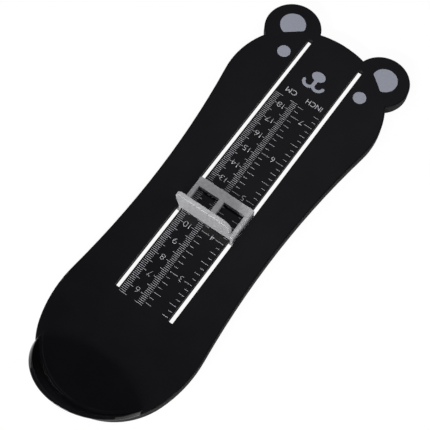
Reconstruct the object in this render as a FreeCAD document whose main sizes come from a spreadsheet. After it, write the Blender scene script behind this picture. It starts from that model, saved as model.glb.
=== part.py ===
import FreeCAD, Part
import math
import os
import Sketcher

# Foot measuring device: a waisted plate with a leaning heel wall, and a slider that runs in two slots.
#
# Every sketch is drawn in the plate's own terms, in millimetres: X runs across the plate from its
# centre line, Y from the scale's zero at the heel wall's foot towards the toes, and Z up from the
# table. The placement of each sub-part then moves the origin to the middle of the footprint.

Vector = FreeCAD.Vector
SAME = 1e-4   # lengths this close are equal
APART = 1e-3   # an edge that gets this far from a plane has left it

DRIVING_SIZES = {
    # Plate: an open tray with its mouth down.
    "plateHeight": 6.0,
    "topWall": 3.0,
    "skirtWall": 2.0,
    "edgeRound": 0.8,
    # Outline of the plate, as arcs that run into each other from heel to toe.
    "plateLength": 229.75,
    "heelCentreY": 35.0,
    "heelRadius": 36.8,
    "heelBulge": 1.6,
    "heelSideRadius": 64.0,
    "waistRadius": 467.0,
    "ballRadius": 42.2,
    "earAngle": 39.55,
    "earRadius": 14.8,
    "headDrop": 2.72,
    "headRadius": 48.0,
    # Heel wall: a leaning shell that is arched when it is seen from behind.
    "heelWallRise": 22.2,
    "heelWallLean": 15.0,
    "heelWallThickness": 2.0,
    "heelFootRadius": 2.0,
    "rimHalfSpan": 29.6,
    "rimRound": 0.5,
    # Slots for the slider.
    "slotCentreX": 15.3,
    "slotWidth": 2.4,
    "slotHeelY": 56.0,
    "slotHeadMargin": 7.65,
    # Ribs under the plate.
    "ribWall": 1.5,
    "ribLift": 1.0,
    "ribHeelY": 44.0,
    "ribPitch": 55.0,
    "ribGap": 0.5,
    # Slider frame, with two reading windows.
    "slideGap": 0.2,
    "frameThickness": 2.8,
    "fenceFaceY": 105.4,
    "frameLength": 18.2,
    "toeBar": 4.8,
    "railWidth": 2.3,
    "centreBar": 2.7,
    "frameRound": 1.0,
    # Toe fence.
    "fenceThickness": 2.4,
    "fenceRise": 13.0,
    "fenceLean": 12.1,
    "fenceLedge": 0.1,
    "fenceLeftRadius": 3.0,
    "fenceRightRadius": 5.5,
    "fenceFootRadius": 1.2,
    "fenceRound": 0.4,
    # Blades that go through the slots, as long as the frame, and the snap tabs at their ends.
    "bladeThickness": 1.4,
    "tabThickness": 1.2,
    "tabLength": 4.0,
    "tabInset": 1.5,
    "barbReach": 0.5,
    # Retainer under the plate.
    "retainerMargin": 2.0,
    "retainerThickness": 2.2,
    "ledgeThickness": 1.1,
    "retainerCorner": 1.5,
    "snapGap": 0.1,
}


class Size:
    """A length or angle with the sheet expression that gives it."""

    def __init__(self, value, text):
        self.value = value
        self.text = text

    def __add__(self, other):
        other = as_size(other)
        return Size(self.value + other.value, f"({self.text} + {other.text})")

    def __sub__(self, other):
        other = as_size(other)
        return Size(self.value - other.value, f"({self.text} - {other.text})")

    def __mul__(self, other):
        other = as_size(other)
        return Size(self.value * other.value, f"({self.text} * {other.text})")

    def __truediv__(self, other):
        other = as_size(other)
        return Size(self.value / other.value, f"({self.text} / {other.text})")

    def __neg__(self):
        return Size(-self.value, f"(-{self.text})")


def as_size(number):
    return number if isinstance(number, Size) else Size(float(number), repr(float(number)))


def sine_of(angle):
    return Size(math.sin(math.radians(angle.value)), f"sin({angle.text})")


def cosine_of(angle):
    return Size(math.cos(math.radians(angle.value)), f"cos({angle.text})")


def tangent_of(angle):
    return Size(math.tan(math.radians(angle.value)), f"tan({angle.text})")


def whole_part(number):
    return Size(math.floor(number.value), f"floor({number.text})")


def make_sheet(document):
    sheet = document.addObject("Spreadsheet::Sheet", "Sizes")
    sizes = {}
    for row, (name, value) in enumerate(DRIVING_SIZES.items(), start=1):
        sheet.set(f"A{row}", name)
        sheet.set(f"B{row}", str(value))
        sheet.setAlias(f"B{row}", name)
        sizes[name] = Size(float(value), f"Sizes.{name}")
    document.recompute()
    return sizes


document = FreeCAD.newDocument("FootMeasure")
size = make_sheet(document)
zero = as_size(0)
plate_top = size["plateHeight"]
plate_under = plate_top - size["topWall"]
heel_back_y = size["heelCentreY"] - size["heelRadius"]
head_y = heel_back_y + size["plateLength"]
ball_y = head_y + size["headDrop"] - size["ballRadius"]
ear_x = size["ballRadius"] * sine_of(size["earAngle"])   # the ears are centred on the ball's circle
ear_y = ball_y + size["ballRadius"] * cosine_of(size["earAngle"])
slot_toe_y = head_y - size["slotHeadMargin"]
slot_inner_x = size["slotCentreX"] - size["slotWidth"] / 2
slot_outer_x = size["slotCentreX"] + size["slotWidth"] / 2
blade_inner_x = slot_inner_x + size["slideGap"]
blade_outer_x = blade_inner_x + size["bladeThickness"]
tab_outer_x = blade_inner_x + size["tabThickness"]
tab_hole_x = tab_outer_x + size["snapGap"]
barb_recess_x = tab_hole_x + size["barbReach"] + size["snapGap"]
retainer_half_width = barb_recess_x + size["retainerMargin"]


# ---- Helpers for bodies, sketches and features ----

def new_body(label):
    body = document.addObject("PartDesign::Body", label)
    body.Label = label
    return body


def new_sketch(body, name, role, offset=zero):
    """A sketch on an origin plane of the body, moved along the plane's normal by the offset."""
    plane = next(feature for feature in body.Origin.OriginFeatures if feature.Role == role)
    sketch = body.newObject("Sketcher::SketchObject", name)
    sketch.AttachmentSupport = (plane, "")
    sketch.MapMode = "FlatFace"
    sketch.setExpression("AttachmentOffset.Base.z", offset.text)
    return sketch


def constrain(sketch, kind, *arguments):
    """Add a constraint whose last argument may be a size, which then drives it."""
    last = arguments[-1]
    if isinstance(last, Size):
        index = sketch.addConstraint(Sketcher.Constraint(kind, *arguments[:-1], last.value))
        sketch.setExpression(f"Constraints[{index}]", last.text)
    else:
        sketch.addConstraint(Sketcher.Constraint(kind, *arguments))


def place_point(sketch, geometry, point, x=None, y=None):
    """Fix a point of a curve at a distance from the sketch's origin."""
    if x is not None:
        constrain(sketch, "DistanceX", -1, 1, geometry, point, x)
    if y is not None:
        constrain(sketch, "DistanceY", -1, 1, geometry, point, y)


def draw_polygon(sketch, corners):
    """A closed outline of straight lines through corners given as pairs of sizes."""
    lines = []
    for start, end in zip(corners, corners[1:] + corners[:1]):
        segment = Part.LineSegment(Vector(start[0].value, start[1].value), Vector(end[0].value, end[1].value))
        lines.append(sketch.addGeometry(segment))
    for line, following, corner in zip(lines, lines[1:] + lines[:1], corners):
        constrain(sketch, "Coincident", line, 2, following, 1)
        place_point(sketch, line, 1, *corner)


def draw_rectangle(sketch, left, right, low, high):
    draw_polygon(sketch, [(left, low), (right, low), (right, high), (left, high)])


def add_feature(body, kind, name, sketch, **properties):
    """A PartDesign feature on a sketch, with its properties set or bound to sizes."""
    feature = body.newObject(kind, name)
    feature.Profile = sketch
    for key, value in properties.items():
        if isinstance(value, Size):
            feature.setExpression(key, value.text)
        else:
            setattr(feature, key, value)
    document.recompute()
    return feature


def round_edges(body, name, radius, chosen):
    """A fillet on the edges of the body's tip that the test picks."""
    tip = body.Tip
    names = [f"Edge{index}" for index, edge in enumerate(tip.Shape.Edges, start=1) if chosen(edge)]
    fillet = body.newObject("PartDesign::Fillet", name)
    fillet.Base = (tip, names)
    fillet.setExpression("Radius", radius.text)
    document.recompute()
    return fillet


def near(number, other):
    return abs(number - other) < SAME


def lies_level(edge, height):
    """Whether the whole edge lies at one height."""
    box = edge.BoundBox
    return near(box.ZMin, height.value) and near(box.ZMax, height.value)


def leaves_middle(edge):
    """Whether the edge leaves the plane X = 0, where the two halves meet."""
    return edge.BoundBox.XMax > APART


# ---- Plate outline ----

def circle_crossing(centre_a, radius_a, centre_b, radius_b, side):
    """The point where two circles cross, on the left (1) or right (-1) of the way from a to b."""
    way = centre_b - centre_a
    along = (radius_a ** 2 - radius_b ** 2 + way.Length ** 2) / (2 * way.Length)
    off = math.sqrt(radius_a ** 2 - along ** 2)
    way.normalize()
    return centre_a + way * along + Vector(-way.y, way.x) * side * off


def toward(start, target, distance):
    """The point at a distance from the start on the line to the target."""
    way = target - start
    return start + way.normalize() * distance


def draw_arc(sketch, centre, start, end, bulge):
    """An arc about a centre; it bulges out from the plate (1) or in towards it (-1)."""
    radius = (start - centre).Length
    first = math.atan2(start.y - centre.y, start.x - centre.x)
    last = math.atan2(end.y - centre.y, end.x - centre.x)
    if bulge < 0:
        first, last = last, first
    circle = Part.Circle(centre, Vector(0, 0, 1), radius)
    return sketch.addGeometry(Part.ArcOfCircle(circle, first, last))


def draw_side(sketch, inset):
    """The right side of the plate's outline, from the heel's back to the head's top, moved in by the inset.

    It returns the first and the last arc. Their free ends are point 1 of the first and point 2 of the last.
    """
    heel = size["heelRadius"] - inset
    heel_side = size["heelSideRadius"] - inset
    waist = size["waistRadius"] + inset
    ball = size["ballRadius"] - inset
    ear = size["earRadius"] - inset
    head = size["headRadius"] - inset
    side_centre_left = size["heelSideRadius"] - size["heelRadius"] - size["heelBulge"]

    heel_centre = Vector(0, size["heelCentreY"].value)
    ball_centre = Vector(0, ball_y.value)
    ear_centre = Vector(ear_x.value, ear_y.value)
    head_centre = Vector(0, head_y.value - size["headRadius"].value)
    centre_gap = heel_side.value - heel.value
    side_rise = math.sqrt(centre_gap ** 2 - side_centre_left.value ** 2)
    side_centre = Vector(-side_centre_left.value, heel_centre.y + side_rise)
    waist_centre = circle_crossing(side_centre, heel_side.value + waist.value,
                                   ball_centre, ball.value + waist.value, -1)

    heel_back = heel_centre - Vector(0, heel.value)
    heel_to_side = heel_centre + (heel_centre - side_centre).normalize() * heel.value
    side_to_waist = toward(side_centre, waist_centre, heel_side.value)
    waist_to_ball = toward(ball_centre, waist_centre, ball.value)
    ball_to_ear = circle_crossing(ball_centre, ball.value, ear_centre, ear.value, -1)
    ear_to_head = circle_crossing(head_centre, head.value, ear_centre, ear.value, 1)
    head_top = head_centre + Vector(0, head.value)

    heel_arc = draw_arc(sketch, heel_centre, heel_back, heel_to_side, 1)
    side_arc = draw_arc(sketch, side_centre, heel_to_side, side_to_waist, 1)
    waist_arc = draw_arc(sketch, waist_centre, side_to_waist, waist_to_ball, -1)
    ball_arc = draw_arc(sketch, ball_centre, waist_to_ball, ball_to_ear, 1)
    ear_arc = draw_arc(sketch, ear_centre, ball_to_ear, ear_to_head, 1)
    head_arc = draw_arc(sketch, head_centre, ear_to_head, head_top, 1)

    constrain(sketch, "Tangent", heel_arc, 2, side_arc, 1)
    constrain(sketch, "Tangent", side_arc, 2, waist_arc, 2)
    constrain(sketch, "Tangent", waist_arc, 1, ball_arc, 1)
    constrain(sketch, "Coincident", ball_arc, 2, ear_arc, 1)
    constrain(sketch, "Coincident", ear_arc, 2, head_arc, 1)
    for arc, radius in ((heel_arc, heel), (side_arc, heel_side), (waist_arc, waist),
                        (ball_arc, ball), (ear_arc, ear), (head_arc, head)):
        constrain(sketch, "Radius", arc, radius)
    place_point(sketch, heel_arc, 3, zero, size["heelCentreY"])
    constrain(sketch, "DistanceX", side_arc, 3, -1, 1, side_centre_left)
    place_point(sketch, ball_arc, 3, zero, ball_y)
    place_point(sketch, ear_arc, 3, ear_x, ear_y)
    place_point(sketch, head_arc, 3, zero, head_y - size["headRadius"])
    constrain(sketch, "PointOnObject", heel_arc, 1, -2)
    constrain(sketch, "PointOnObject", head_arc, 2, -2)
    return heel_arc, head_arc


def join_points(sketch, geometry_a, point_a, geometry_b, point_b, *corners):
    """Straight lines from one free end to another, by way of corners given as pairs of sizes."""
    start = sketch.getPoint(geometry_a, point_a)
    end = sketch.getPoint(geometry_b, point_b)
    stops = [start] + [Vector(x.value, y.value) for x, y in corners] + [end]
    lines = [sketch.addGeometry(Part.LineSegment(a, b)) for a, b in zip(stops, stops[1:])]
    constrain(sketch, "Coincident", geometry_a, point_a, lines[0], 1)
    for line, following, corner in zip(lines, lines[1:], corners):
        constrain(sketch, "Coincident", line, 2, following, 1)
        place_point(sketch, line, 2, *corner)
    constrain(sketch, "Coincident", lines[-1], 2, geometry_b, point_b)


# ---- Base plate, right half first ----

over_x = ear_x + size["earRadius"] * 2   # well outside the outline
over_y = ear_y + size["earRadius"] * 2
rim_back_y = heel_back_y - size["heelWallRise"] * tangent_of(size["heelWallLean"])
rib_inner_x = retainer_half_width + size["ribGap"]
rib_height = plate_under - size["ribLift"]


def draw_arch_cut(body, low, high):
    """Cut away all of the heel wall that stands above its arch."""
    rise = size["heelWallRise"]
    span = size["rimHalfSpan"]
    radius = (rise * rise + span * span) / (rise * 2)
    centre_z = plate_top + rise - radius
    sketch = new_sketch(body, "ArchSketch", "XZ_Plane")
    centre = Vector(0, centre_z.value)
    crown = Vector(0, centre_z.value + radius.value)
    springing = Vector(math.sqrt(radius.value ** 2 - (low.value - centre_z.value) ** 2), low.value)
    arch = draw_arc(sketch, centre, springing, crown, 1)
    constrain(sketch, "Radius", arch, radius)
    place_point(sketch, arch, 3, zero, centre_z)
    constrain(sketch, "PointOnObject", arch, 2, -2)
    place_point(sketch, arch, 1, None, low)
    join_points(sketch, arch, 2, arch, 1, (zero, high), (span * 2, high), (span * 2, low))
    add_feature(body, "PartDesign::Pocket", "ArchCut", sketch, SideType="Symmetric", Type="ThroughAll")


def make_heel_wall():
    """The right half of the leaning wall, with a foot that lies in the plate's top wall."""
    body = new_body("heel_wall_half")
    wall_base = plate_top - size["topWall"] / 2
    tall = size["heelWallRise"] * 1.2
    wall_top = plate_top + tall
    outer_back = -size["heelRadius"]
    inner_back = outer_back + size["heelWallThickness"]
    lean = tall * tangent_of(size["heelWallLean"])
    foot_back = inner_back + size["heelFootRadius"] * 2

    profile = new_sketch(body, "WallProfile", "YZ_Plane")
    profile.setExpression("AttachmentOffset.Base.x", size["heelCentreY"].text)
    draw_polygon(profile, [
        (outer_back, wall_base),
        (foot_back, wall_base),
        (foot_back, plate_top),
        (inner_back, plate_top),
        (inner_back - lean, wall_top),
        (outer_back - lean, wall_top),
        (outer_back, plate_top),
    ])
    add_feature(body, "PartDesign::Revolution", "Wall", profile,
                ReferenceAxis=(profile, ["V_Axis"]), Angle=90.0)
    foot_radius = size["heelRadius"] - size["heelWallThickness"]
    round_edges(body, "WallFoot", size["heelFootRadius"],
                lambda edge: lies_level(edge, plate_top) and edge.Curve.TypeId == "Part::GeomCircle"
                and near(edge.Curve.Radius, foot_radius.value))

    draw_arch_cut(body, wall_base, wall_top)
    high = plate_top + size["heelWallRise"] / 2
    round_edges(body, "RimRound", size["rimRound"],
                lambda edge: edge.BoundBox.ZMax > high.value and leaves_middle(edge))
    return body


def make_base_plate():
    body = new_body("base_plate")
    guide = new_sketch(body, "GuideRibSketch", "XY_Plane", size["ribLift"])
    draw_rectangle(guide, rib_inner_x, rib_inner_x + size["ribWall"], size["ribHeelY"], over_y)
    add_feature(body, "PartDesign::Pad", "GuideRib", guide, Length=rib_height)

    heel_rib = new_sketch(body, "HeelRibSketch", "XY_Plane", size["ribLift"])
    draw_rectangle(heel_rib, zero, over_x, size["ribHeelY"], size["ribHeelY"] + size["ribWall"])
    add_feature(body, "PartDesign::Pad", "HeelRib", heel_rib, Length=rib_height)

    cross = new_sketch(body, "CrossRibSketch", "XY_Plane", size["ribLift"])
    cross_y = size["ribHeelY"] + size["ribPitch"]
    draw_rectangle(cross, rib_inner_x, over_x, cross_y, cross_y + size["ribWall"])
    cross_rib = add_feature(body, "PartDesign::Pad", "CrossRib", cross, Length=rib_height)
    pattern = body.newObject("PartDesign::LinearPattern", "CrossRibs")
    pattern.Originals = [cross_rib]
    pattern.Direction = (cross, ["V_Axis"])
    pattern.Mode = "Spacing"
    pattern.setExpression("Offset", size["ribPitch"].text)
    pattern.setExpression("Occurrences", whole_part((head_y - size["ribHeelY"]) / size["ribPitch"]).text)
    body.Tip = pattern
    document.recompute()

    trim = new_sketch(body, "RibTrimSketch", "XY_Plane")
    heel_arc, head_arc = draw_side(trim, size["skirtWall"] / 2)
    join_points(trim, head_arc, 2, heel_arc, 1,
                (zero, over_y), (over_x * 2, over_y), (over_x * 2, rim_back_y), (zero, rim_back_y))
    add_feature(body, "PartDesign::Pocket", "RibTrim", trim, SideType="Symmetric", Type="ThroughAll")

    top = new_sketch(body, "TopWallSketch", "XY_Plane", plate_under)
    heel_arc, head_arc = draw_side(top, zero)
    join_points(top, head_arc, 2, heel_arc, 1)
    add_feature(body, "PartDesign::Pad", "TopWall", top, Length=size["topWall"])
    round_edges(body, "TopEdge", size["edgeRound"],
                lambda edge: lies_level(edge, plate_top) and leaves_middle(edge))

    skirt = new_sketch(body, "SkirtSketch", "XY_Plane")
    outer_heel, outer_head = draw_side(skirt, zero)
    inner_heel, inner_head = draw_side(skirt, size["skirtWall"])
    join_points(skirt, outer_head, 2, inner_head, 2)
    join_points(skirt, inner_heel, 1, outer_heel, 1)
    add_feature(body, "PartDesign::Pad", "Skirt", skirt, Length=plate_under)

    join = body.newObject("PartDesign::Boolean", "HeelWallJoin")
    join.Type = "Fuse"
    join.setObjects([make_heel_wall()])
    body.Tip = join
    document.recompute()

    slot = new_sketch(body, "SlotSketch", "XY_Plane")
    draw_rectangle(slot, slot_inner_x, slot_outer_x, size["slotHeelY"], slot_toe_y)
    add_feature(body, "PartDesign::Pocket", "Slot", slot, SideType="Symmetric", Type="ThroughAll")

    mirror = body.newObject("PartDesign::Mirrored", "BothSides")
    mirror.TransformMode = "Whole shape"
    mirror.MirrorPlane = (slot, ["V_Axis"])
    body.Tip = mirror
    document.recompute()
    return body


# ---- Slider and its retainer ----

frame_low = plate_top + size["slideGap"]
frame_high = frame_low + size["frameThickness"]
fence_top = plate_top + size["fenceRise"]
window_heel_y = size["fenceFaceY"] + size["fenceThickness"]
frame_toe_y = size["fenceFaceY"] + size["frameLength"]
window_toe_y = frame_toe_y - size["toeBar"]
frame_half_width = blade_outer_x   # the frame's sides are flush with the blades
window_outer_x = frame_half_width - size["railWidth"]
window_inner_x = size["centreBar"] / 2
fence_end_x = frame_half_width - size["frameRound"] - size["fenceLedge"] - size["fenceFootRadius"]
blade_low = plate_under - size["slideGap"]
retainer_low = blade_low - size["retainerThickness"]
ledge_low = blade_low - size["ledgeThickness"]
tab_heel_y = size["fenceFaceY"] + size["tabInset"]
tab_pitch = size["frameLength"] - size["tabInset"] * 2 - size["tabLength"]


def make_fence():
    """The upright fence, whose right end sweeps down into the frame's side."""
    body = new_body("toe_fence")
    sketch = new_sketch(body, "FenceSketch", "XZ_Plane", -size["fenceFaceY"])
    lean_top_x = -frame_half_width - (fence_top - frame_low) * tangent_of(size["fenceLean"])
    draw_polygon(sketch, [
        (-frame_half_width, frame_low),
        (frame_half_width, frame_low),
        (frame_half_width, frame_high),
        (fence_end_x, frame_high),
        (fence_end_x, fence_top),
        (lean_top_x, fence_top),
    ])
    add_feature(body, "PartDesign::Pad", "Fence", sketch, Length=size["fenceThickness"], Reversed=True)

    def stands_at(x, z):
        return lambda edge: near(edge.CenterOfMass.x, x.value) and near(edge.CenterOfMass.z, z.value)

    round_edges(body, "LeftCorner", size["fenceLeftRadius"], stands_at(lean_top_x, fence_top))
    round_edges(body, "RightCorner", size["fenceRightRadius"], stands_at(fence_end_x, fence_top))
    round_edges(body, "RightFoot", size["fenceFootRadius"], stands_at(fence_end_x, frame_high))
    round_edges(body, "RightSide", size["frameRound"], stands_at(frame_half_width, frame_high))
    round_edges(body, "Rim", size["fenceRound"],
                lambda edge: near(edge.BoundBox.YLength, 0) and not lies_level(edge, frame_low))
    return body


def make_slider():
    body = new_body("slider")
    frame_heel_y = size["fenceFaceY"] + size["fenceThickness"] / 2
    frame = new_sketch(body, "FrameSketch", "XY_Plane", frame_low)
    draw_rectangle(frame, -frame_half_width, frame_half_width, frame_heel_y, frame_toe_y)
    add_feature(body, "PartDesign::Pad", "Frame", frame, Length=size["frameThickness"])
    round_edges(body, "FrameSides", size["frameRound"],
                lambda edge: lies_level(edge, frame_high)
                and near(abs(edge.CenterOfMass.x), frame_half_width.value))
    windows = new_sketch(body, "WindowSketch", "XY_Plane", frame_low)
    for side in (1, -1):
        draw_rectangle(windows, window_inner_x * side, window_outer_x * side, window_heel_y, window_toe_y)
    add_feature(body, "PartDesign::Pocket", "Windows", windows, SideType="Symmetric", Type="ThroughAll")

    join = body.newObject("PartDesign::Boolean", "FenceJoin")
    join.Type = "Fuse"
    join.setObjects([make_fence()])
    body.Tip = join
    document.recompute()

    blades = new_sketch(body, "BladeSketch", "XY_Plane", blade_low)
    draw_rectangle(blades, blade_inner_x, blade_outer_x, size["fenceFaceY"], frame_toe_y)
    draw_rectangle(blades, -blade_outer_x, -blade_inner_x, size["fenceFaceY"], frame_toe_y)
    add_feature(body, "PartDesign::Pad", "Blades", blades, Length=frame_low - blade_low)

    barb_high = ledge_low - size["snapGap"]
    barb_x = tab_outer_x + size["barbReach"]
    tab_low = retainer_low + size["snapGap"]
    tabs = new_sketch(body, "TabSketch", "XZ_Plane", -tab_heel_y)
    right_tab = [
        (blade_inner_x, blade_low),
        (blade_inner_x, tab_low),
        (tab_outer_x, tab_low),
        (barb_x, barb_high),
        (tab_outer_x, barb_high),
        (tab_outer_x, blade_low),
    ]
    draw_polygon(tabs, right_tab)
    draw_polygon(tabs, [(-x, z) for x, z in right_tab])
    tab_pair = add_feature(body, "PartDesign::Pad", "HeelTabs", tabs, Length=size["tabLength"], Reversed=True)
    pattern = body.newObject("PartDesign::LinearPattern", "ToeTabs")
    pattern.Originals = [tab_pair]
    pattern.Direction = (blades, ["V_Axis"])
    pattern.Mode = "Spacing"
    pattern.setExpression("Offset", tab_pitch.text)
    pattern.Occurrences = 2
    body.Tip = pattern
    document.recompute()
    return body


def make_retainer():
    body = new_body("slider_retainer")
    clip = new_sketch(body, "ClipSketch", "XY_Plane", retainer_low)
    draw_rectangle(clip, -retainer_half_width, retainer_half_width, size["fenceFaceY"], frame_toe_y)
    add_feature(body, "PartDesign::Pad", "Clip", clip, Length=size["retainerThickness"])
    round_edges(body, "ClipCorners", size["retainerCorner"],
                lambda edge: near(edge.BoundBox.ZLength, size["retainerThickness"].value))

    hole_inner_x = blade_inner_x - size["barbReach"] - size["snapGap"]
    holes = new_sketch(body, "HoleSketch", "XY_Plane")
    recesses = new_sketch(body, "RecessSketch", "XY_Plane", retainer_low)
    for heel_y in (tab_heel_y, tab_heel_y + tab_pitch):
        low_y = heel_y - size["snapGap"]
        high_y = heel_y + size["tabLength"] + size["snapGap"]
        for side in (1, -1):
            draw_rectangle(holes, hole_inner_x * side, tab_hole_x * side, low_y, high_y)
            draw_rectangle(recesses, hole_inner_x * side, barb_recess_x * side, low_y, high_y)
    add_feature(body, "PartDesign::Pocket", "TabHoles", holes, SideType="Symmetric", Type="ThroughAll")
    add_feature(body, "PartDesign::Pocket", "BarbRecesses", recesses,
                Length=size["retainerThickness"] - size["ledgeThickness"], Reversed=True)
    return body


# ---- The three pieces, placed with the middle of the footprint at the origin ----

sub_parts = [make_base_plate(), make_slider(), make_retainer()]
middle_y = (rim_back_y + ear_y + size["earRadius"]) / 2
for body in sub_parts:
    body.setExpression("Placement.Base.y", (-middle_y).text)
document.recompute()
for thing in document.Objects:
    if "Invalid" in thing.State or "Error" in thing.State:
        raise RuntimeError(f"{thing.Name} is {thing.State}")
for body in sub_parts:
    if body.Shape.isNull() or not body.Shape.isValid() or len(body.Shape.Solids) != 1:
        raise RuntimeError(f"{body.Label} is no valid single solid")

os.makedirs("parts", exist_ok=True)
for body in sub_parts:
    body.Shape.exportStep(f"parts/{body.Label}.step")
    print(body.Label, round(body.Shape.Volume, 1), "mm3", body.Shape.BoundBox)
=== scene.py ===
import math

import bmesh
import bpy
from mathutils import Matrix, Vector


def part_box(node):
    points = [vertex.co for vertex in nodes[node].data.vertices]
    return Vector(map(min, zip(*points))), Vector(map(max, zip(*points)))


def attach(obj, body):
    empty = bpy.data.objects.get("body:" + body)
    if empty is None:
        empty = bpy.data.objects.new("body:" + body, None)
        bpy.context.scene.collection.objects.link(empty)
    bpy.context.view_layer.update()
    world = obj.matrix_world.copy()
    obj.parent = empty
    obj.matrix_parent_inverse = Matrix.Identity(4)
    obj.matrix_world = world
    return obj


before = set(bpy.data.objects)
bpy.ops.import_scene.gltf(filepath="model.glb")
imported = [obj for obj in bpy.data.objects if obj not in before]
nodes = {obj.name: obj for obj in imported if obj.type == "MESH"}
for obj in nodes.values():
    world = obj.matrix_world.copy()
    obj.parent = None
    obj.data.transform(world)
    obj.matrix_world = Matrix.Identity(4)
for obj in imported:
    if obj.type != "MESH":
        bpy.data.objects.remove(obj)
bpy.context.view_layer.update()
mm = 0.001
inch = 25.4 * mm
print("frame loaded:", ", ".join(sorted(nodes)))

noiseRange = (0.3, 0.7)    # nearly all of a noise's values lie between these


def startMaterial(name):
    material = bpy.data.materials.new(name)
    material.use_nodes = True
    return material, material.node_tree.nodes["Principled BSDF"]


def addNode(tree, kind, **inputs):
    node = tree.nodes.new(kind)
    for name, value in inputs.items():
        node.inputs[name].default_value = value
    return node


def objectNoise(tree, scale, detail, stretch=(1, 1, 1)):
    coordinates = tree.nodes.new("ShaderNodeTexCoord")
    mapping = addNode(tree, "ShaderNodeMapping", Scale=stretch)
    noise = addNode(tree, "ShaderNodeTexNoise", Scale=scale, Detail=detail)
    tree.links.new(coordinates.outputs["Object"], mapping.inputs["Vector"])
    tree.links.new(mapping.outputs["Vector"], noise.inputs["Vector"])
    return noise.outputs["Fac"]


def remap(tree, value, fromLow, fromHigh, toLow, toHigh):
    ranger = tree.nodes.new("ShaderNodeMapRange")
    ranger.inputs["From Min"].default_value = fromLow
    ranger.inputs["From Max"].default_value = fromHigh
    ranger.inputs["To Min"].default_value = toLow
    ranger.inputs["To Max"].default_value = toHigh
    tree.links.new(value, ranger.inputs["Value"])
    return ranger.outputs["Result"]


def spread(tree, noise, low, high):    # makes a noise run from low to high
    return remap(tree, noise, *noiseRange, low, high)


def largerOf(tree, first, second):
    larger = tree.nodes.new("ShaderNodeMath")
    larger.operation = "MAXIMUM"
    tree.links.new(first, larger.inputs[0])
    tree.links.new(second, larger.inputs[1])
    return larger.outputs["Value"]


def blendColours(tree, share, first, second):
    mix = tree.nodes.new("ShaderNodeMix")
    mix.data_type = "RGBA"
    mix.inputs["A"].default_value = (*first, 1)
    mix.inputs["B"].default_value = (*second, 1)
    tree.links.new(share, mix.inputs["Factor"])
    return mix.outputs["Result"]


def addBump(tree, shader, height, strength, depth):
    bump = addNode(tree, "ShaderNodeBump", Strength=strength, Distance=depth)
    tree.links.new(height, bump.inputs["Height"])
    tree.links.new(bump.outputs["Normal"], shader.inputs["Normal"])


blackGloss = {
    "dark": (0.0026, 0.0026, 0.0030),
    "pale": (0.0036, 0.0036, 0.0040),
    "cloud": {"scale": 60, "detail": 3},      # soft colour drift, a few to the hand's width
    "scratch": {"scale": 900, "detail": 6, "stretch": (1, 0.08, 1)},    # slider and feet rub along Y
    "smooth": 0.05,
    "worn": 0.12,
    "matte": 1.0,                             # the skirt's and the slots' sides, under the plate's face
    "matteTop": 5.6 * mm,
    "glossFoot": 5.95 * mm,
    "mirror": 0.4,
    "ripple": {"scale": 90, "detail": 2},     # the moulding's faint orange peel
    "rippleStrength": 0.15,
    "rippleDepth": 0.02 * mm,
}


def roughSides(tree, gloss, look):    # the larger of the face's roughness and the sides'
    coordinates = tree.nodes.new("ShaderNodeTexCoord")
    split = tree.nodes.new("ShaderNodeSeparateXYZ")
    tree.links.new(coordinates.outputs["Object"], split.inputs["Vector"])
    sides = remap(tree, split.outputs["Z"], look["matteTop"], look["glossFoot"], look["matte"], 0)
    return largerOf(tree, gloss, sides)


def makeBlackGloss():
    look = blackGloss
    material, shader = startMaterial("blackGlossPlastic")
    tree = material.node_tree
    cloud = objectNoise(tree, **look["cloud"])
    colour = blendColours(tree, spread(tree, cloud, 0, 1), look["dark"], look["pale"])
    tree.links.new(colour, shader.inputs["Base Color"])
    scratch = objectNoise(tree, **look["scratch"])
    gloss = spread(tree, scratch, look["smooth"], look["worn"])
    tree.links.new(roughSides(tree, gloss, look), shader.inputs["Roughness"])
    shader.inputs["Specular IOR Level"].default_value = look["mirror"]
    ripple = objectNoise(tree, **look["ripple"])
    addBump(tree, shader, ripple, look["rippleStrength"], look["rippleDepth"])
    return material


lightGrey = {
    "dark": (0.272, 0.273, 0.280),
    "pale": (0.358, 0.359, 0.366),
    "mottle": {"scale": 700, "detail": 4},
    "smooth": 0.46,
    "worn": 0.56,
    "grain": {"scale": 5200, "detail": 3},    # the mould's fine texture
    "grainStrength": 0.35,
    "grainDepth": 0.02 * mm,
}


def makeLightGrey():
    look = lightGrey
    material, shader = startMaterial("lightGreySatinPlastic")
    tree = material.node_tree
    mottle = objectNoise(tree, **look["mottle"])
    colour = blendColours(tree, spread(tree, mottle, 0, 1), look["dark"], look["pale"])
    tree.links.new(colour, shader.inputs["Base Color"])
    tree.links.new(spread(tree, mottle, look["smooth"], look["worn"]), shader.inputs["Roughness"])
    grain = objectNoise(tree, **look["grain"])
    addBump(tree, shader, grain, look["grainStrength"], look["grainDepth"])
    return material


greyInk = {
    "thin": (0.194, 0.204, 0.238),
    "full": (0.234, 0.246, 0.286),
    "thinLine": (0.285, 0.285, 0.300),        # the scales are a paler, neutral grey
    "fullLine": (0.330, 0.330, 0.348),
    "speckle": {"scale": 2600, "detail": 4},
    "smooth": 0.34,
    "worn": 0.5,
}


def makeGreyInk(name, thin, full):
    look = greyInk
    material, shader = startMaterial(name)
    tree = material.node_tree
    speckle = objectNoise(tree, **look["speckle"])
    colour = blendColours(tree, spread(tree, speckle, 0, 1), thin, full)
    tree.links.new(colour, shader.inputs["Base Color"])
    tree.links.new(spread(tree, speckle, look["smooth"], look["worn"]), shader.inputs["Roughness"])
    return material


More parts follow.
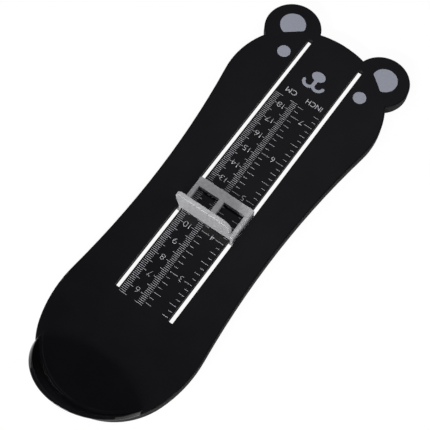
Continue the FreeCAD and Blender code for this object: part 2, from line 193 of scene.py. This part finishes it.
blackPlastic = makeBlackGloss()
greyPlastic = makeLightGrey()
markInk = makeGreyInk("greyMarkInk", greyInk["thin"], greyInk["full"])
scaleInk = makeGreyInk("greyScaleInk", greyInk["thinLine"], greyInk["fullLine"])
nodes["base_plate"].material_slots[0].material = blackPlastic
for name in ("slider", "slider_retainer"):
    nodes[name].material_slots[0].material = greyPlastic
print("materials made and the three CAD pieces painted")


printPlace = {
    "restReading": 105.4 * mm,    # what the fence's heel face reads before the slider is moved
    "depth": 0.03 * mm,
}

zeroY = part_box("slider")[0].y - printPlace["restReading"]    # the scales count from here
above, down = Vector((0, 0, 1)), Vector((0, 0, -1))
faceZ = nodes["base_plate"].ray_cast(above, down)[1].z       # where a line down the middle meets the plate
print("scale zero at y", round(zeroY, 5), "and the plate's face at z", round(faceZ, 5))


# Print is drawn with its underside at z 0 and with y from the scale's zero, and this puts it on the plate.
def finishPrint(name, form, ink):
    bmesh.ops.translate(form, verts=form.verts, vec=(0, zeroY, faceZ))
    mesh = bpy.data.meshes.new(name)
    form.to_mesh(mesh)
    form.free()
    mesh.materials.append(ink)
    piece = bpy.data.objects.new(name, mesh)
    bpy.context.scene.collection.objects.link(piece)
    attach(piece, "base")


def addLine(form, y, startX, length, width):    # a negative length runs to the left
    size = Matrix.Diagonal((abs(length), width, printPlace["depth"], 1))
    middle = Matrix.Translation((startX + length / 2, y, printPlace["depth"] / 2))
    bmesh.ops.create_cube(form, size=1, matrix=middle @ size)


# Each scale has a left and a right column of lines, counted in its unit from zero. A line takes the length
# beside the largest number that divides its count: of the eighths, 8 is a whole inch, 4 a half, 2 a quarter.
centimetreScale = {
    "unit": mm,
    "firstLine": 55,
    "lastLine": 185,
    "lineWidth": 0.2 * mm,
    "leftStart": -13.35 * mm,
    "leftLengths": {5: 4.4 * mm, 1: 3.0 * mm},
    "rightStart": -0.28 * mm,
    "rightLengths": {5: 4.1 * mm, 1: 2.85 * mm},
    "numbers": range(6, 19),
    "numberPitch": 10 * mm,
    "numberX": (-6.58 * mm, -7.0 * mm),       # one digit, two digits
    "numberHeight": 3.0 * mm,
    "spacing": 0.84,
    "widening": 1.2,
    "thinning": (0.026, 0.012),               # off each side of a stroke, at the heel end and at the toe end
}

inchScale = {
    "unit": inch / 8,
    "firstLine": 18,
    "lastLine": 58,
    "lineWidth": 0.2 * mm,
    "leftStart": 0.5 * mm,
    "leftLengths": {8: 4.5 * mm, 4: 3.9 * mm, 2: 3.1 * mm, 1: 2.1 * mm},
    "rightStart": 13.1 * mm,
    "rightLengths": {8: 4.4 * mm, 4: 3.8 * mm, 2: 3.1 * mm, 1: 2.05 * mm},
    "numbers": range(3, 8),
    "numberPitch": inch,
    "numberX": (6.88 * mm,),
    "numberHeight": 3.0 * mm,
    "spacing": 1,
    "widening": 1.05,
    "thinning": (0.018, 0.003),
}


def makeLines(name, sizes):
    form = bmesh.new()
    for count in range(sizes["firstLine"], sizes["lastLine"] + 1):
        kind = max(step for step in sizes["leftLengths"] if count % step == 0)
        y = count * sizes["unit"]
        addLine(form, y, sizes["leftStart"], sizes["leftLengths"][kind], sizes["lineWidth"])
        addLine(form, y, sizes["rightStart"], -sizes["rightLengths"][kind], sizes["lineWidth"])
    finishPrint(name, form, scaleInk)


lettering = {
    "curveSteps": 6,
    "weld": 1e-5,    # of the font's height
}


def drawText(words, spacing=1, thinning=0):    # a flat mesh, one unit high, about its middle, and its width
    curve = bpy.data.curves.new("words", "FONT")
    curve.body = words
    curve.space_character = spacing
    curve.offset = -thinning
    curve.resolution_u = lettering["curveSteps"]
    holder = bpy.data.objects.new("words", curve)
    mesh = bpy.data.meshes.new_from_object(holder)
    bpy.data.curves.remove(curve)    # which takes its holder too
    form = bmesh.new()
    form.from_mesh(mesh)
    bpy.data.meshes.remove(mesh)
    bmesh.ops.remove_doubles(form, verts=form.verts, dist=lettering["weld"])
    low = Vector(min(v.co[axis] for v in form.verts) for axis in range(3))
    high = Vector(max(v.co[axis] for v in form.verts) for axis in range(3))
    bmesh.ops.translate(form, verts=form.verts, vec=-(low + high) / 2)
    size = high - low
    bmesh.ops.scale(form, verts=form.verts, vec=Vector((1, 1, 1)) / size.y)
    return form, size.x / size.y


def pointsIn(parts):
    return [part for part in parts if isinstance(part, bmesh.types.BMVert)]


def thicken(form):    # gives a flat shape the depth of the ink
    flat = list(form.faces)
    raised = pointsIn(bmesh.ops.extrude_face_region(form, geom=flat)["geom"])
    bmesh.ops.translate(form, verts=raised, vec=(0, 0, printPlace["depth"]))
    bmesh.ops.recalc_face_normals(form, faces=form.faces)


def addForm(form, part):    # joins one bmesh to another
    mesh = bpy.data.meshes.new("part")
    part.to_mesh(mesh)
    part.free()
    form.from_mesh(mesh)
    bpy.data.meshes.remove(mesh)


def addWords(form, words, x, y, scaleX, scaleY):    # turned, to read upright from the toe end
    turned = Matrix.Rotation(math.pi, 4, "Z") @ Matrix.Diagonal((scaleX, scaleY, 1, 1))
    bmesh.ops.transform(words, verts=words.verts, matrix=Matrix.Translation((x, y, 0)) @ turned)
    thicken(words)
    addForm(form, words)


def makeNumbers(name, sizes):
    form = bmesh.new()
    numbers, height = sizes["numbers"], sizes["numberHeight"]
    heelThinning, toeThinning = sizes["thinning"]
    for number in numbers:
        toeShare = (number - numbers[0]) / (numbers[-1] - numbers[0])
        thinning = heelThinning + toeShare * (toeThinning - heelThinning)
        digits, _ = drawText(str(number), sizes["spacing"], thinning)
        x, y = sizes["numberX"][len(str(number)) - 1], number * sizes["numberPitch"]
        addWords(form, digits, x, y, height * sizes["widening"], height)
    finishPrint(name, form, scaleInk)


unitNames = {
    "y": 189.6 * mm,
    "height": 2.9 * mm,
    "centimetreX": -6.75 * mm,
    "centimetreWidth": 6.0 * mm,
    "inchX": 6.9 * mm,
    "inchWidth": 9.1 * mm,
}


def makeUnitNames():
    sizes = unitNames
    form = bmesh.new()
    for words, x, width in (("CM", sizes["centimetreX"], sizes["centimetreWidth"]),
                            ("INCH", sizes["inchX"], sizes["inchWidth"])):
        letters, aspect = drawText(words)
        addWords(form, letters, x, sizes["y"], width / aspect, sizes["height"])
    finishPrint("unitNames", form, scaleInk)


makeLines("centimetreLines", centimetreScale)
makeLines("inchLines", inchScale)
makeNumbers("centimetreNumbers", centimetreScale)
makeNumbers("inchNumbers", inchScale)
makeUnitNames()
print("scales printed")


bearFace = {
    "noseX": -0.1 * mm,
    "noseY": 204.5 * mm,
    "noseHalfWidth": 3.7 * mm,
    "noseHalfHeight": 2.8 * mm,
    "stemWidth": 1.95 * mm,
    "stroke": 1.7 * mm,
    "mouthX": 2.64 * mm,        # centre of each half's arc
    "mouthY": 199.9 * mm,
    "mouthRadius": 2.98 * mm,
    "mouthStart": math.radians(211),
    "mouthSweep": math.radians(140),
    "mouthSteps": 24,
    "endSegments": 24,          # of the discs that round a stroke's ends
    "sliver": 1e-5 * mm,        # points nearer to each other than this are one
    "flatAngle": 0.001,         # faces that turn by less than this, in radians, are one
    "eyeX": 22.95 * mm,
    "eyeY": 206.7 * mm,
    "eyeRadius": 3.4 * mm,
    "earX": 27.9 * mm,
    "earY": 222.6 * mm,
    "earRadius": 6.7 * mm,
    "earCut": 4.15 * mm,        # from the ear patch's centre to its straight side
    "earCutAngle": math.radians(231),
    "earCorner": 0.7 * mm,
    "earCornerSegments": 4,
    "discSegments": 48,
}


def direction(angle):    # in the plate's plane, from X
    return Vector((math.cos(angle), math.sin(angle), 0))


def addDisc(form, x, y, halfWidth, halfHeight, segments=bearFace["discSegments"]):
    place = Matrix.Translation((x, y, 0)) @ Matrix.Diagonal((halfWidth, halfHeight, 1, 1))
    bmesh.ops.create_circle(form, cap_ends=True, radius=1, segments=segments, matrix=place)


def printMesh(form):    # a thick, closed object of one simple shape
    thicken(form)
    mesh = bpy.data.meshes.new("mark")
    form.to_mesh(mesh)
    form.free()
    piece = bpy.data.objects.new("mark", mesh)
    bpy.context.scene.collection.objects.link(piece)
    return piece


def mouthHalf(side):    # a bent stroke with round ends, as three shapes
    face = bearFace
    stroke = bmesh.new()
    centre = Vector((face["mouthX"], face["mouthY"], 0))
    half = face["stroke"] / 2
    out = direction(face["mouthStart"])
    inner = stroke.verts.new(centre + out * (face["mouthRadius"] - half))
    outer = stroke.verts.new(centre + out * (face["mouthRadius"] + half))
    edge = stroke.edges.new((inner, outer))
    bmesh.ops.spin(stroke, geom=[inner, outer, edge], cent=centre, axis=(0, 0, 1),
                   angle=face["mouthSweep"], steps=face["mouthSteps"])
    end = Matrix.Rotation(face["mouthSweep"], 3, "Z") @ out
    shapes = [stroke]
    for way in (out, end):
        cap = bmesh.new()
        tip = centre + way * face["mouthRadius"]
        addDisc(cap, tip.x, tip.y, half, half, face["endSegments"])
        shapes.append(cap)
    for shape in shapes:
        bmesh.ops.scale(shape, verts=shape.verts, vec=(side, 1, 1))
    return shapes


def makeNoseAndMouth():    # overlapping shapes, united so that the ink is one clean solid
    face = bearFace
    nose = bmesh.new()
    addDisc(nose, face["noseX"], face["noseY"], face["noseHalfWidth"], face["noseHalfHeight"])
    stem = bmesh.new()    # from the middle of the nose to where the halves of the mouth meet
    top, bottom = face["noseY"], face["mouthY"] - face["mouthRadius"] / 2
    size = Matrix.Diagonal((face["stemWidth"], top - bottom, 1, 1))
    place = Matrix.Translation((0, (top + bottom) / 2, 0)) @ size
    bmesh.ops.create_grid(stem, x_segments=1, y_segments=1, size=0.5, matrix=place)
    pieces = [printMesh(shape) for shape in [nose, stem] + mouthHalf(1) + mouthHalf(-1)]
    whole = pieces[0]
    for piece in pieces[1:]:
        union = whole.modifiers.new("union", "BOOLEAN")
        union.operation = "UNION"
        union.solver = "EXACT"
        union.object = piece
    united = bpy.data.meshes.new_from_object(whole.evaluated_get(bpy.context.evaluated_depsgraph_get()))
    for piece in pieces:
        bpy.data.meshes.remove(piece.data)    # which takes the object too
    form = bmesh.new()
    form.from_mesh(united)
    bpy.data.meshes.remove(united)
    # the union cuts the flat faces into slivers, which differ from run to run, so each becomes one face
    bmesh.ops.remove_doubles(form, verts=form.verts, dist=face["sliver"])
    bmesh.ops.dissolve_limit(form, angle_limit=face["flatAngle"], verts=form.verts, edges=form.edges)
    finishPrint("noseAndMouth", form, markInk)


def makeEyes():
    face = bearFace
    form = bmesh.new()
    for side in (-1, 1):
        addDisc(form, side * face["eyeX"], face["eyeY"], face["eyeRadius"], face["eyeRadius"])
    thicken(form)
    finishPrint("eyes", form, markInk)


def makeEarPatches():    # discs with one straight side, whose two corners are rounded
    face = bearFace
    away = direction(face["earCutAngle"])
    form = bmesh.new()
    for side in (-1, 1):
        patch = bmesh.new()
        addDisc(patch, 0, 0, face["earRadius"], face["earRadius"])
        cut = bmesh.ops.bisect_plane(patch, geom=patch.verts[:] + patch.edges[:] + patch.faces[:],
                                     plane_co=away * face["earCut"], plane_no=away, clear_outer=True)
        bmesh.ops.bevel(patch, geom=pointsIn(cut["geom_cut"]), affect="VERTICES", offset=face["earCorner"],
                        segments=face["earCornerSegments"], profile=0.5, material=-1)
        bmesh.ops.scale(patch, verts=patch.verts, vec=(side, 1, 1))
        bmesh.ops.translate(patch, verts=patch.verts, vec=(side * face["earX"], face["earY"], 0))
        thicken(patch)
        addForm(form, patch)
    finishPrint("earPatches", form, markInk)


makeNoseAndMouth()
makeEyes()
makeEarPatches()
print("face marks printed")


studio = {
    "floorSize": 8.0,
    "floorColour": (0.85, 0.85, 0.85, 1),
    "floorGlow": 0.95,    # share of the floor that is plain white to the camera, to gloss and through glass
}


def makeFloor():
    form = bmesh.new()
    bmesh.ops.create_grid(form, x_segments=1, y_segments=1, size=studio["floorSize"] / 2)
    mesh = bpy.data.meshes.new("floor")
    form.to_mesh(mesh)
    form.free()
    floor = bpy.data.objects.new("floor", mesh)
    bpy.context.scene.collection.objects.link(floor)
    material = bpy.data.materials.new("paleFloor")
    material.use_nodes = True
    tree = material.node_tree
    tree.nodes.clear()
    output = tree.nodes.new("ShaderNodeOutputMaterial")
    path = tree.nodes.new("ShaderNodeLightPath")
    seen = largerOf(tree, path.outputs["Is Camera Ray"], path.outputs["Is Glossy Ray"])
    seen = largerOf(tree, seen, path.outputs["Is Transmission Ray"])
    share = tree.nodes.new("ShaderNodeMath")
    share.operation = "MULTIPLY"
    share.inputs[1].default_value = studio["floorGlow"]
    tree.links.new(seen, share.inputs[0])
    plain = addNode(tree, "ShaderNodeBsdfDiffuse", Color=studio["floorColour"])
    glow = tree.nodes.new("ShaderNodeEmission")
    mix = tree.nodes.new("ShaderNodeMixShader")
    tree.links.new(share.outputs["Value"], mix.inputs["Fac"])
    tree.links.new(plain.outputs["BSDF"], mix.inputs[1])
    tree.links.new(glow.outputs["Emission"], mix.inputs[2])
    tree.links.new(mix.outputs["Shader"], output.inputs["Surface"])
    mesh.materials.append(material)


room = {
    "dim": (0.058, 0.056, 0.074),
    "bright": (0.205, 0.203, 0.225),    # a soft patch of ceiling that the plate's toe end mirrors
    "patch": (-0.13, 0.40, 0.90),       # the direction of its middle
    "core": 0.09,                       # as far from the middle as it stays bright
    "fringe": 0.25,                     # and where it ends
}


def makeWorld():
    world = bpy.data.worlds.new("studio")
    world.use_nodes = True
    tree = world.node_tree
    sky = tree.nodes.new("ShaderNodeTexCoord")
    distance = tree.nodes.new("ShaderNodeVectorMath")
    distance.operation = "DISTANCE"
    distance.inputs[1].default_value = room["patch"]
    tree.links.new(sky.outputs["Generated"], distance.inputs[0])
    share = remap(tree, distance.outputs["Value"], room["fringe"], room["core"], 0, 1)
    colour = blendColours(tree, share, room["dim"], room["bright"])
    tree.links.new(colour, tree.nodes["Background"].inputs["Color"])
    bpy.context.scene.world = world


lamps = {    # the side lamps only fill, so that they leave no bright bands on the gloss
    "front": {"place": (0.02, -1.05, 0.65), "size": (0.8, 0.06), "power": 19.5, "mirrored": True},
    "left": {"place": (-0.90, 0.10, 0.85), "size": (0.7, 0.9), "power": 8.3, "mirrored": False},
    "right": {"place": (0.90, 0.30, 0.85), "size": (0.6, 0.9), "power": 8.3, "mirrored": False},
}


def makeLamp(name, place, size, power, mirrored):
    lamp = bpy.data.lights.new(name, "AREA")
    lamp.shape = "RECTANGLE"
    lamp.size, lamp.size_y = size
    lamp.energy = power
    holder = bpy.data.objects.new(name, lamp)
    holder.location = place
    holder.rotation_euler = (-Vector(place)).to_track_quat("-Z", "Y").to_euler()    # aimed at the plate
    holder.visible_glossy = mirrored
    bpy.context.scene.collection.objects.link(holder)


cameraView = {
    "place": (0.1110, -0.18379, 0.50929),
    "turn": (22.816, -1.716, 35.267),    # degrees about X, Y and Z
    "lens": 95.53,
    "sensor": 36,
}


def makeCamera():
    camera = bpy.data.cameras.new("camera")
    camera.lens = cameraView["lens"]
    camera.sensor_width = cameraView["sensor"]
    holder = bpy.data.objects.new("camera", camera)
    holder.location = cameraView["place"]
    holder.rotation_euler = [math.radians(angle) for angle in cameraView["turn"]]
    bpy.context.scene.collection.objects.link(holder)
    bpy.context.scene.camera = holder


makeFloor()
makeWorld()
for name, lamp in lamps.items():
    makeLamp(name, **lamp)
makeCamera()
bpy.context.scene.view_settings.view_transform = "Standard"
print("floor, light and camera set")
